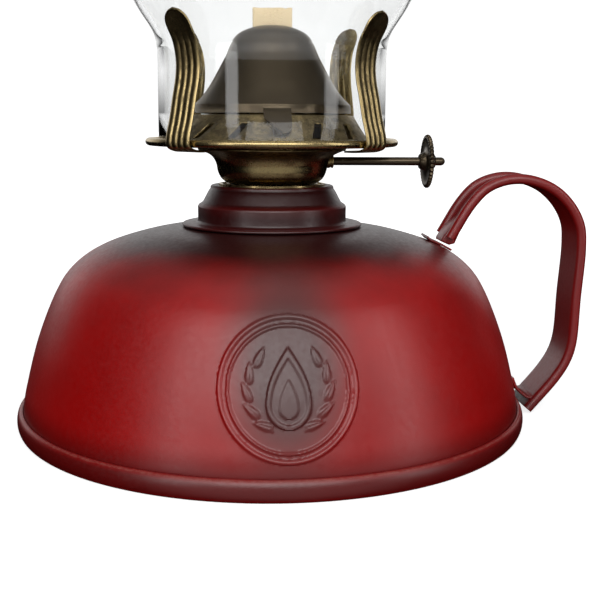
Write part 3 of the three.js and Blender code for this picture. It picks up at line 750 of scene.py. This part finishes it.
# ---------------------------------------------------------------- burner
class BuildCup(bpy.types.Operator):
    """Burner cup with its belly, the screw thread under it and the bush of the shaft"""

    bl_idname = "oil_lamp.burner_cup"
    bl_label = "Burner cup"

    def execute(self, context):
        share = np.array([[0.665, 0.01], [0.73, 0.12], [0.776, 0.3], [0.796, 0.5], [0.833, 0.66],
                          [0.89, 0.77], [1, 0.87]])
        line = np.vstack([[12.2, CUP_Z], smooth(share * (CUP_TOP_R, CUP_H) + (0, CUP_Z), 10),
                          [CUP_TOP_R + 0.9, FLOOR_Z - 1.07]])
        surface = turned(wall_of(line, 0.7), 160)
        h = (surface[..., 2] - CUP_Z) / CUP_H
        mark = 0.95 * bump(h - 0.38, 0.62) + 0.3 * bump(h - 0.02, 0.1)
        mesh_piece("cup_bowl", [surface], brass(), "burner", ["burner_cup"],
                   worn=[mark])
        mesh_piece("cup_thread",
                   [threaded(THREAD_R - 0.5, THREAD_R - 1.3, low("burner_thread")[2],
                             high("burner_thread")[2], 0.5)],
                   brass(), "burner", ["burner_thread"], worn=[0.5])
        start, end = low("shaft_bush")[0], high("shaft_bush")[0]
        bush = np.vstack([[1.5, start], [2.0, start], [2.0, end - 1.1], [1.82, end - 1.0],
                          [1.82, end - 0.75], arc(1.72, end - 0.28, 0.28, 0, 90, 4), [1.5, end],
                          [1.5, start]])
        mesh_piece("bush", [about_shaft(turned(bush, 48))], brass(), "burner",
                   ["shaft_bush"], worn=[0.5])
        return {"FINISHED"}


class BuildGallery(bpy.types.Operator):
    """Gallery: a pierced floor that rolls up into the round rim"""

    bl_idname = "oil_lamp.gallery"
    bl_label = "Gallery"

    def execute(self, context):
        bead_r, mid = GALLERY_R - 1.05, FLOOR_Z + 0.5
        line = np.vstack([
            [18.2, mid], [20.2, mid], [22.3, mid], [25.2, mid], [28.1, mid], [30.2, mid],
            [32.6, mid], arc(bead_r, FLOOR_Z + 1.25, 0.9, -128, 190, 22)])
        period = TAU / VENTS
        step = np.array([0, 0.17, 0.335, 0.355, 0.5, 0.645, 0.665, 0.83])
        a = np.r_[(period * (np.arange(VENTS)[:, None] + step)).ravel(), TAU]
        surface = turned(line, angles=a)
        cell = np.arange(len(a) - 1) % 8
        hole = ((cell >= 3) & (cell <= 4))[None, :] & np.isin(np.arange(len(line) - 1), (2, 3))[:, None]
        z = surface[..., 2] - FLOOR_Z
        mark = 0.25 + 0.65 * ramp(z, 0.9, 1.6)
        mesh_piece("gallery", [surface], brass(), "burner", ["gallery_ring"],
                   sheet=0.3, worn=[np.clip(mark, 0, 1)], keep=[~hole], closed=False)
        return {"FINISHED"}


class BuildCone(bpy.types.Operator):
    """Air cone pierced with slanted slots, with a window in front and one behind"""

    bl_idname = "oil_lamp.air_cone"
    bl_label = "Air cone"

    def execute(self, context):
        share = np.array([0, 0.08, 0.2, 0.21, 0.33, 0.45, 0.5, 0.6, 0.72, 0.8, 0.81, 0.9, 1])
        side = CONE_LIP + (CONE_NECK - CONE_LIP) * share[:, None]
        line = np.vstack([side, [22.95, CONE_TOP - 0.2], [22.6, CONE_TOP - 0.06],
                          [21.8, CONE_TOP], [19.5, CONE_TOP], [17, CONE_TOP]])
        line = offset(line, 0.35)
        period = TAU / VENTS
        step = np.array([0, 0.2, 0.385, 0.4, 0.5, 0.6, 0.615, 0.8])
        a = np.r_[FRONT - period / 2 + (period * (np.arange(VENTS)[:, None] + step)).ravel(),
                  FRONT - period / 2 + TAU]
        number = np.arange(len(a) - 1) // 8
        window = number % 8 == 0
        # Columns lean by 0.11 radians over the slots' height, and stand upright at the windows.
        lean = np.ones(len(a))
        lean[:-1][window] = 0
        lean[-1] = 0
        lean[np.r_[False, window[:-1] & ~window[1:]].nonzero()[0]] = 0
        shift = np.interp(np.arange(len(line)), [2, 10], [-0.06, 0.06])[:, None]
        angle = a[None] + shift * lean[None]
        r, z = line[:, :1], line[:, 1:2]
        surface = np.stack([r * np.cos(angle), r * np.sin(angle), z + 0 * angle], -1)
        cell = (np.arange(len(a) - 1) % 8)[None]
        row = np.arange(len(line) - 1)[:, None]
        slot = (cell >= 3) & (cell <= 5) & (row >= 3) & (row <= 8) & ~window[None]
        opening = (cell >= 2) & (cell <= 5) & (row >= 4) & (row <= 7) & window[None]
        mesh_piece("pierced_cone", [surface], brass("cone_brass", age=0.62), "burner", ["air_cone"],
                   sheet=0.55, worn=[0.25 * ramp(surface[..., 2], CONE_TOP - 1.5, CONE_TOP)],
                   keep=[~(slot | opening)], closed=False)
        return {"FINISHED"}


class BuildTubes(bpy.types.Operator):
    """Wick tube, spur cover, plate and vent tube, which keep their CAD shapes"""

    bl_idname = "oil_lamp.tubes"
    bl_label = "Tubes and plate"

    def execute(self, context):
        finish = brass("tube_brass", age=0.45)
        for name in ("wick_tube", "spur_cover", "tube_plate", "vent_tube", "spur_wheel_left",
                     "spur_wheel_right"):
            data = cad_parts[name].data
            data.materials.clear()
            data.materials.append(finish)
        return {"FINISHED"}


PRONG = np.array([[28.68, 76.45], [33.35, 76.6], [35.77, 77.7], [35.87, 79.9], [34.60, 84.7],
                  [33.40, 90.2], [32.31, 95.0], [32.06, 99.1], [33.02, 103.9], [34.79, 107.5],
                  [36.81, 111.4]])


class BuildProngs(bpy.types.Operator):
    """Four fluted spring prongs hooked under the gallery"""

    bl_idname = "oil_lamp.prongs"
    bl_label = "Spring prongs"

    def execute(self, context):
        wide, depth = 8.4, settings().brass.flute / MM
        line = spread(smooth(PRONG, 16, 0.25), 96)
        s = lengths(line)[:, None]
        t = np.linspace(-1, 1, 33)
        # Half-width: full, then a round end as the root of 1 - q^2 over the last half-width.
        q = np.clip((s - s[-1] + wide / 2) / (wide / 2), 0, 1)
        half = wide / 2 * np.sqrt(np.clip(1 - q**2, 0, 1))
        half[-1] = 0
        lobes = np.abs(np.sin(TAU * (t + 1))) ** 0.8
        strength = ramp(s, 3.0, 7.5) * ramp(-s, -s[-1] + 4.5, -s[-1] + 11)
        flute = depth * (lobes - 0.5) * strength
        step = unit(np.gradient(line, axis=0))
        out = line[:, None, :] + flute[..., None] * np.stack([step[:, 1], -step[:, 0]], -1)[:, None]
        dish = 0.35 * (t**2 - 0.3) * ramp(s, s[-1] - 9, s[-1] - 3)
        mark = np.clip((0.2 + 0.8 * lobes ** 2) * strength * ramp(-s, -s[-1] + 6, -s[-1] + 26)
                       + 0.55 * ramp(np.abs(t), 0.9, 1.0), 0, 1)
        for node, turn in zip(("prong_back_right", "prong_back_left", "prong_front_left",
                               "prong_front_right"), (45, 135, 225, 315)):
            a = math.radians(turn)
            radius, y, z = out[..., 0] + dish, t * half, out[..., 1]
            surface = np.stack([radius * math.cos(a) - y * math.sin(a),
                                radius * math.sin(a) + y * math.cos(a), z + 0 * y], -1)
            mesh_piece(node.replace("prong", "spring"), [surface],
                       brass("prong_brass", age=0.62, gloss=0.38), node, [node],
                       sheet=0.5, bevel=0.12, worn=[mark], closed=False)
        return {"FINISHED"}


class BuildDome(bpy.types.Operator):
    """Flame dome: a bell with the wick slot in its crown and two tabs at its rim"""

    bl_idname = "oil_lamp.dome"
    bl_label = "Flame dome"

    def execute(self, context):
        share = np.array([[0.99, 0.09], [0.885, 0.185], [0.8, 0.285], [0.69, 0.455],
                          [0.59, 0.625], [0.5, 0.8], [0.4, 0.9], [0.22, 0.975], [0, 1]])
        curve = smooth(share * (DOME_R, CROWN_Z - DOME_Z) + (0, DOME_Z), 16)
        line = offset(np.vstack([[DOME_R, DOME_Z], curve]), 0.3)
        line[-1, 0] = 0
        a = np.linspace(0, TAU, 193)
        # Inside the radius 9.5 each circle gives way to the slot's outline
        # |x / 7|^6 + |y / 2.5|^6 = 1.
        slot = ((np.cos(a) / 7.0) ** 6 + (np.sin(a) / 2.5) ** 6) ** (-1 / 6)
        reach = np.r_[line[line[:, 0] > 9.5, 0], np.linspace(9.4, 0, 22)][:, None]
        radius = reach + slot * np.clip(1 - reach / 9.5, 0, 1)
        height = np.interp(radius, line[::-1, 0], line[::-1, 1])
        bell = np.stack([radius * np.cos(a), radius * np.sin(a), height], -1)
        height_share = (bell[..., 2] - DOME_Z) / (CROWN_Z - DOME_Z)
        # The marks lighten the brass: rubbing at the rim and on the upper tabs, and round the middle a
        # band that is mostly a painted highlight over light rubbing.
        mark = [np.clip(bump(height_share - 0.06, 0.16) + 0.75 * bump(height_share - 0.5, 0.34),
                        0, 1)]
        surfaces = [bell]
        lean = CONE_NECK - CONE_LIP
        lean /= np.linalg.norm(lean)
        for side in (-1, 1):
            # The tab hangs from the rim along the cone: rows go down, columns across; one side is
            # cut slanting and the other ends in a quarter circle.
            drop = np.linspace(0, 1, 26)[:, None]
            c = np.linspace(-1, 1, 25)[None]
            level = DOME_Z + 1.6 - 6.55 * drop
            left = -3.5 + 4.6 * np.clip((DOME_Z - 1.2 - level) / 3.75, 0, 1)
            curl = np.clip((DOME_Z - 3 - level) / 2, 0, 1)
            right = 1.5 + 2 * np.sqrt(1 - curl**2)
            x = left + (np.maximum(right, left) - left) * (c + 1) / 2
            cone = CONE_LIP[0] + lean[0] * (level - CONE_LIP[1]) / lean[1] + 0.6 / lean[1]
            radius = cone + (DOME_R - 0.1 - cone) * ramp(level, DOME_Z + 0.1, DOME_Z + 1.6)
            y = side * np.sqrt(radius**2 - x**2)
            surfaces.append(np.stack([x, y, level + 0 * x], -1))
            mark.append(0.75 * ramp(-drop, -1.0, -0.3) + 0 * x)
        mesh_piece("bell", surfaces, dark_brass(), "dome", ["flame_dome"],
                   sheet=0.5, worn=mark, closed=False, bevel=0.1)
        return {"FINISHED"}


# ---------------------------------------------------------------- wick and its raiser
class BuildWick(bpy.types.Operator):
    """Woven flat wick with a red tracer and a slightly frayed top"""

    bl_idname = "oil_lamp.wick"
    bl_label = "Wick"

    def execute(self, context):
        pick = settings().wick.pick / MM
        w, d = (WICK_HIGH - WICK_LOW)[:2]
        z0, z1 = WICK_LOW[2], WICK_HIGH[2]
        # Upper end in rows of a sixth of a pick, the hidden tail in coarser ones.
        z = np.r_[np.linspace(z0, z1 - 22, 90), np.arange(z1 - 22, z1, pick / 6)[1:], z1][:, None]
        a = np.linspace(0, TAU, 145)[None]
        p = 9.0
        r = (np.abs(np.cos(a) / (w / 2 - 0.1)) ** p + np.abs(np.sin(a) / (d / 2 - 0.1)) ** p) ** (-1 / p)
        x, y = r * np.cos(a), r * np.sin(a)
        thread = 0.95
        column = np.floor(x / thread)
        over = 0.5 + 0.5 * np.cos(TAU * (z / pick + 0.5 * (column % 2)))
        cord = np.abs(np.cos(math.pi * x / thread))
        weave = 0.09 * (over * 1.4 + 0.9 * cord - 1.1)
        flat = ramp(np.abs(np.sin(a)), 0.15, 0.4)
        y = y + np.sign(y) * weave * flat
        x = x + np.sign(x) * 0.05 * np.cos(TAU * z / pick) * (1 - flat)
        fray = ramp(z, z1 - 0.8, z1)
        y = y * (1 - 0.10 * fray)
        top = z - 0.35 * fray * (0.5 + 0.5 * np.sin(9.0 * x + 2 * np.sin(5 * y)))
        side = np.stack([x + 0 * z, y + 0 * z, top + 0 * x], -1)
        # Both ends close on a seam along X, where the two halves of the loop meet.
        inner = side[-1:] * (0.8, 0.6, 1.0)
        inner[..., 2] += 0.12 * np.sin(11 * inner[..., 0]) - 0.1
        core, under = (0.5 * (loop + loop[:, ::-1]) * (0.9, 0, 1) for loop in (inner, side[:1]))
        surface = np.vstack([under, side, inner, core])
        line = bump(x - 0.55 * np.sin(TAU * z / (pick * 2)) * 0.55, 1.15) * (np.abs(np.sin(a)) > 0.3)
        mark = np.vstack([0 * under[..., 0], np.clip(line + 0 * z, 0, 1),
                          np.zeros((2, a.shape[1]))])
        mesh_piece("woven_wick", [surface], cotton(), "wick", ["wick"], worn=[mark],
                   sharp=60)
        return {"FINISHED"}


class BuildRaiser(bpy.types.Operator):
    """Wick shaft with its rounded end, and the coin-edged knob"""

    bl_idname = "oil_lamp.raiser"
    bl_label = "Shaft and knob"

    def execute(self, context):
        start = low("raiser_shaft")[0]
        rod = np.vstack([[0, start], [1.0, start], [1.2, start + 0.2], [1.2, 12.0], [1.2, 24.0],
                         [1.2, 36.0], arc(0, SHAFT_END - 1.2, 1.2, 0, 90, 8)])
        rod[-1, 0] = 0
        mesh_piece("shaft", [about_shaft(turned(rod, 40))], dark_brass(), "raiser",
                   ["raiser_shaft"], worn=[0.15])
        k, n = low("raiser_knob")[0] + 1.7, settings().brass.knob_teeth
        line = np.vstack([
            [1.5, k - 1.7], [1.95, k - 1.7], [2.2, k - 1.45], [2.7, k - 0.1],
            smooth([[3.1, k + 0.12], [4.2, k + 0.26], [5.6, k + 0.2], [6.6, k + 0.05]], 4),
            arc(7.05, k + 0.65, 0.65, -90, 90, 10),
            smooth([[6.6, k + 1.25], [5.6, k + 1.1], [4.2, k + 1.04], [3.1, k + 1.2]], 4),
            [2.7, k + 1.35], [2.45, k + 1.9], [2.05, k + 2.55], [1.8, k + 2.9], [1.5, k + 2.9],
            [1.5, k - 1.7]])
        a = np.linspace(0, TAU, n * 8 + 1)
        surface = turned(line, angles=a)
        near = ramp(line[:, 0], 6.5, 7.3)[:, None]
        notch = 1 - 0.055 * near * (0.5 - 0.5 * np.cos(n * a)) ** 0.7
        surface[..., :2] *= notch[..., None]
        mark = 0.5 * near * (0.5 + 0.5 * np.cos(n * a)) ** 2
        mesh_piece("knob", [about_shaft(surface)], dark_brass(), "raiser",
                   ["raiser_knob"], worn=[mark])
        return {"FINISHED"}


# ---------------------------------------------------------------- chimney
class BuildChimney(bpy.types.Operator):
    """Blown chimney: straight foot, bulge and tall throat, with fire-polished ends"""

    bl_idname = "oil_lamp.chimney"
    bl_label = "Chimney"

    def execute(self, context):
        t = settings().glass.wall / MM
        foot_r, top_r, bulge = 31.4, 24.5, 45.5
        tall = GLASS_TOP - GLASS_Z
        foot = GLASS_Z + 0.145 * tall
        rest = GLASS_TOP - foot
        swell = np.array([[0, 0], [0.09, 0.034], [0.45, 0.09], [0.91, 0.19], [1, 0.265],
                          [0.68, 0.41], [0, 0.62]])
        line = np.vstack([[foot_r, GLASS_Z + t / 2], [foot_r, GLASS_Z + 8], [foot_r, foot - 6],
                          smooth(np.vstack([swell * (bulge - foot_r, rest) + (foot_r, foot),
                                            [top_r + 0.22 * (foot_r - top_r), foot + 0.83 * rest],
                                            [top_r, GLASS_TOP - t / 2]]), 14)])
        mesh_piece("blown_glass", [turned(wall_of(line, t), 192)], glass(), "chimney", ["chimney"],
                   sharp=80)
        return {"FINISHED"}


# ---------------------------------------------------------------- stage
class BuildStage(bpy.types.Operator):
    """Pale floor, soft studio lights and the camera"""

    bl_idname = "oil_lamp.stage"
    bl_label = "Stage"

    def execute(self, context):
        scene, own = context.scene, settings().studio
        a = np.linspace(0, TAU, 65)
        r = np.array([0, 900, 2400, 6000.0])[:, None]
        floor = np.stack([r * np.cos(a), r * np.sin(a), 0 * r * a - 0.02], -1)
        f = Finish("pale_floor")
        far = f.add("VectorMath", out="Value", options={"operation": "LENGTH"}, i0=f.place)
        tone = f.mix(f.fade(f.noise(6, 3), 0.3, 0.7), tuple(own.floor),
                     tuple(c * 0.985 for c in own.floor))
        f.shine(Base_Color=tone, Roughness=0.9, Specular_IOR_Level=0.1,
                Emission_Color=(1, 1, 1), Emission_Strength=f.fade(far, 0.15, 0.5, 0.72, 1.05))
        mesh = bpy.data.meshes.new("floor")
        index = np.arange(4 * 65).reshape(4, 65)
        quad = np.stack([index[:-1, :-1], index[1:, :-1], index[1:, 1:], index[:-1, 1:]], -1)
        mesh.from_pydata((floor.reshape(-1, 3) * MM).tolist(), [], quad.reshape(-1, 4).tolist())
        mesh.materials.append(f.material)
        made = bpy.data.objects.new("floor", mesh)
        scene.collection.objects.link(made)
        made.visible_glossy = made.visible_diffuse = False

        self.world(scene)
        middle = Vector((0, 0, 0.07))
        for name, turn, up, away, size, tall, power in (
                ("front_light", -1, 27, 1.2, 1.25, 0.75, own.front),
                ("left_light", -43, 17, 1.25, 0.28, 1.1, own.side),
                ("right_light", 57, 17, 1.25, 0.32, 1.1, own.side),
                ("top_light", 8, 80, 1.3, 1.1, 0.9, own.top)):
            light = bpy.data.lights.new(name, "AREA")
            light.shape, light.size, light.size_y, light.energy = "RECTANGLE", size, tall, power
            lamp = bpy.data.objects.new(name, light)
            scene.collection.objects.link(lamp)
            b, e = math.radians(turn), math.radians(up)
            back = Vector((math.sin(b) * math.cos(e), -math.cos(b) * math.cos(e), math.sin(e)))
            lamp.location = middle + back * away
            lamp.rotation_euler = back.to_track_quat("Z", "Y").to_euler()
            lamp.visible_camera = False
        scene.view_settings.view_transform = "Standard"
        scene.view_settings.look = "None"

        # Camera: 280 mm in front of the axis and 85 mm up, looking 10.4 degrees down.
        heading, down, roll = math.radians(4.96), math.radians(10.37), math.radians(0.377)
        ahead = Vector((math.sin(heading) * math.cos(down), math.cos(heading) * math.cos(down),
                        -math.sin(down)))
        right = Vector((math.cos(heading), -math.sin(heading), 0))
        up = right.cross(ahead)
        r_axis = math.cos(roll) * right + math.sin(roll) * up
        u_axis = -math.sin(roll) * right + math.cos(roll) * up
        view = bpy.data.cameras.new("camera")
        view.lens, view.sensor_width, view.sensor_fit = 59.13, 36.0, "HORIZONTAL"
        view.clip_start, view.clip_end = 0.01, 30
        eye = bpy.data.objects.new("camera", view)
        eye.matrix_world = Matrix((
            (r_axis.x, u_axis.x, -ahead.x, -0.0161), (r_axis.y, u_axis.y, -ahead.y, -0.2791),
            (r_axis.z, u_axis.z, -ahead.z, 0.0847), (0, 0, 0, 1)))
        scene.collection.objects.link(eye)
        scene.camera = eye
        return {"FINISHED"}

    def world(self, scene):
        """White all round to the eye and through the glass. Reflections see a dim room with a
        white wall low down behind the lamp, and a pale table in front of it."""
        world = bpy.data.worlds.new("studio")
        world.use_nodes = True
        scene.world = world
        tree = world.node_tree
        new, link = tree.nodes.new, tree.links.new

        def step(value, start, end, height=1.0):
            made = new("ShaderNodeMapRange")
            made.interpolation_type = "SMOOTHSTEP"
            made.inputs["From Min"].default_value, made.inputs["From Max"].default_value = start, end
            made.inputs["To Max"].default_value = height
            link(value, made.inputs[0])
            return made.outputs[0]

        def both(how, a, b):
            made = new("ShaderNodeMath")
            made.operation = how
            for socket, value in zip(made.inputs, (a, b)):
                if isinstance(value, float):
                    socket.default_value = value
                else:
                    link(value, socket)
            return made.outputs[0]

        where, split = new("ShaderNodeTexCoord"), new("ShaderNodeSeparateXYZ")
        link(where.outputs["Generated"], split.inputs[0])
        y, z = split.outputs[1:]
        wall = both("MULTIPLY", both("MULTIPLY", step(y, 0.45, 0.85), step(z, -0.02, 0.06)),
                    step(z, 0.62, 0.2))
        table = both("MULTIPLY", step(z, 0.02, -0.12), step(y, -0.35, -0.85, 0.35))
        room = both("ADD", both("MAXIMUM", wall, table), step(z, 0.35, 0.9, 0.2))
        path = new("ShaderNodeLightPath")
        bounced = both("ADD", path.outputs["Diffuse Depth"], path.outputs["Glossy Depth"])
        straight = both("MULTIPLY", path.outputs["Is Transmission Ray"],
                        both("LESS_THAN", bounced, 0.5))
        pick = new("ShaderNodeMix")
        link(both("MAXIMUM", path.outputs["Is Camera Ray"], straight), pick.inputs[0])
        link(room, pick.inputs[2])
        pick.inputs[3].default_value = 1.05
        link(pick.outputs[0], tree.nodes["Background"].inputs["Strength"])
        tree.nodes["Background"].inputs["Color"].default_value = (1, 1, 1, 1)


class OilLampPanel(bpy.types.Panel):
    """Lists the lamp's pieces and their settings"""

    bl_idname = "VIEW3D_PT_oil_lamp"
    bl_label = "Oil Lamp"
    bl_space_type = "VIEW_3D"
    bl_region_type = "UI"
    bl_category = "Oil Lamp"

    def draw(self, context):
        for group in ("tank", "brass", "glass", "wick", "studio"):
            box = self.layout.box()
            own = getattr(context.scene.oil_lamp, group)
            for key in type(own).__annotations__:
                box.prop(own, key)
        for operator in PIECES:
            self.layout.operator(operator.bl_idname)


PIECES = (BuildTankShell, BuildBasePan, BuildNeck, BuildHandle, BuildCup, BuildGallery, BuildCone,
          BuildTubes, BuildProngs, BuildDome, BuildWick, BuildRaiser, BuildChimney, BuildStage)
CLASSES = (LampTankSettings, LampBrassSettings, LampGlassSettings, LampWickSettings,
           LampStudioSettings, LampSettings, *PIECES, OilLampPanel)


def register():
    for c in CLASSES:
        bpy.utils.register_class(c)
    bpy.types.Scene.oil_lamp = PointerProperty(type=LampSettings)


def unregister():
    del bpy.types.Scene.oil_lamp
    for c in reversed(CLASSES):
        bpy.utils.unregister_class(c)


def main():
    register()
    for piece in PIECES:
        family, name = piece.bl_idname.split(".")
        getattr(getattr(bpy.ops, family), name)()


if __name__ == "__main__":
    main()
